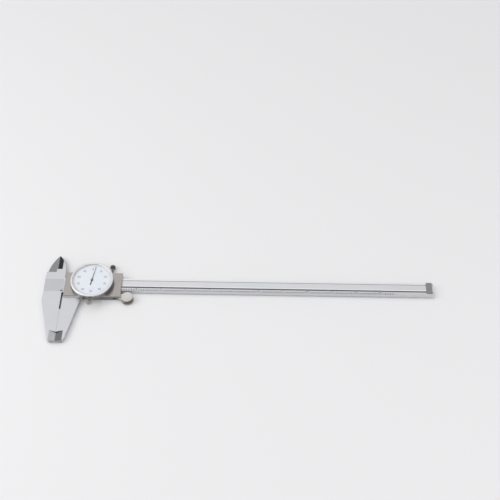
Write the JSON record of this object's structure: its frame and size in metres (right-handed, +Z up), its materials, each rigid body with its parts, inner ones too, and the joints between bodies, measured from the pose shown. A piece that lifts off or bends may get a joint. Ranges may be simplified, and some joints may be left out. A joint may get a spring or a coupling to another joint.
{
  "type": "dial caliper",
  "caption": "Dial caliper with outside and inside jaws, a sliding dial head geared to a rack in the beam, a turning bezel and a depth rod.",
  "frame": {"origin": "on the rest plane, the slider's back cover, straight behind the dial's spindle on the beam's centre line, with the jaws closed", "axes": "+X along the beam to its free end, +Y towards the inside jaws, +Z up out of the dial"},
  "size_m": [0.406, 0.1103, 0.0138],
  "materials": {
    "beam_steel": "fine ground, satin",
    "rack_steel": "milled, darker than the beam",
    "slider_steel": "satin with bright edges",
    "plate_satin": "brushed along the beam, warm grey",
    "cover_steel": "satin",
    "screw_steel": "turned",
    "gib_bronze": "plain",
    "thumb_screw_steel": "knurled, bright",
    "rod_steel": "satin",
    "case_metal": "satin chrome",
    "bezel_chrome": "turned bright",
    "crystal": "clear plastic glass",
    "dial_white": "white enamel with printed marks",
    "pointer_black": "black",
    "movement_brass": "plain",
    "pinion_steel": "hardened",
    "hairspring_steel": "blued",
    "arm_steel": "plain",
    "roller_nickel": "fluted edge, nickel"
  },
  "bodies": {
    "beam": {"beam": "beam_steel", "rack": "rack_steel", "rack_screw": "screw_steel", "end_stop": "plate_satin", "end_stop_screws": "screw_steel"},
    "slider": {"slider": "slider_steel", "front_plate": "plate_satin", "back_cover": "cover_steel", "cover_screws": "screw_steel", "gib": "gib_bronze", "gib_screws": "screw_steel", "depth_rod": "rod_steel", "depth_rod_screws": "screw_steel", "dial_case": "case_metal", "dial_case_screws": "screw_steel", "movement_plate": "movement_brass", "movement_pillars": "movement_brass", "movement_screws": "screw_steel", "hairspring": "hairspring_steel", "roller_arm_pin": "screw_steel"},
    "lock_screw": {"slide_lock_screw": "thumb_screw_steel"},
    "transfer": {"rack_pinion": "pinion_steel", "transfer_wheel": "movement_brass"},
    "pointer": {"centre_pinion": "pinion_steel", "pointer": "pointer_black"},
    "backlash": {"backlash_wheel": "movement_brass", "backlash_arbor": "pinion_steel"},
    "bezel": {"bezel": "bezel_chrome", "crystal": "crystal", "dial_face": "dial_white"},
    "bezel_clamp": {"bezel_clamp_screw": "thumb_screw_steel"},
    "roller_arm": {"roller_arm": "arm_steel"},
    "roller": {"thumb_roller": "roller_nickel", "roller_lower_disc": "roller_nickel"}
  },
  "joints": [
    {"name": "slider_slide", "type": "slide", "parent": "beam", "child": "slider", "axis": [1, 0, 0], "range_m": [0, 0.3048]},
    {"name": "transfer_turn", "type": "hinge", "parent": "slider", "child": "transfer", "pos_m": [-0.00515, -0.00308, 0.0065], "axis": [0, 0, 1], "continuous": true},
    {"name": "pointer_turn", "type": "hinge", "parent": "slider", "child": "pointer", "pos_m": [0, 0, 0.0085], "axis": [0, 0, 1], "continuous": true},
    {"name": "backlash_turn", "type": "hinge", "parent": "slider", "child": "backlash", "pos_m": [0.00235, 0.00552, 0.007], "axis": [0, 0, 1], "continuous": true},
    {"name": "bezel_turn", "type": "hinge", "parent": "slider", "child": "bezel", "pos_m": [0, 0, 0.0125], "axis": [0, 0, 1], "continuous": true},
    {"name": "lock_screw_turn", "type": "hinge", "parent": "slider", "child": "lock_screw", "pos_m": [0.0185, 0.0133, 0.00305], "axis": [0, 1, 0], "range_deg": [0, 360]},
    {"name": "bezel_clamp_turn", "type": "hinge", "parent": "slider", "child": "bezel_clamp", "pos_m": [0, -0.022, 0.01], "axis": [0, -1, 0], "range_deg": [0, 360]},
    {"name": "roller_arm_swing", "type": "hinge", "parent": "slider", "child": "roller_arm", "pos_m": [0.0263, -0.0126, 0.00305], "axis": [0, 0, 1], "range_deg": [0, 11.5], "stiffness_Nm_per_rad": 0.02},
    {"name": "roller_turn", "type": "hinge", "parent": "roller_arm", "child": "roller", "pos_m": [0.0375, -0.0169, 0.00305], "axis": [0, 0, 1], "continuous": true}
  ],
  "couplings": [
    {"joint": "transfer_turn", "follows": "slider_slide", "rad_per_m": 1236.8},
    {"joint": "pointer_turn", "follows": "slider_slide", "rad_per_m": -2473.7},
    {"joint": "backlash_turn", "follows": "slider_slide", "rad_per_m": 1236.8}
  ]
}
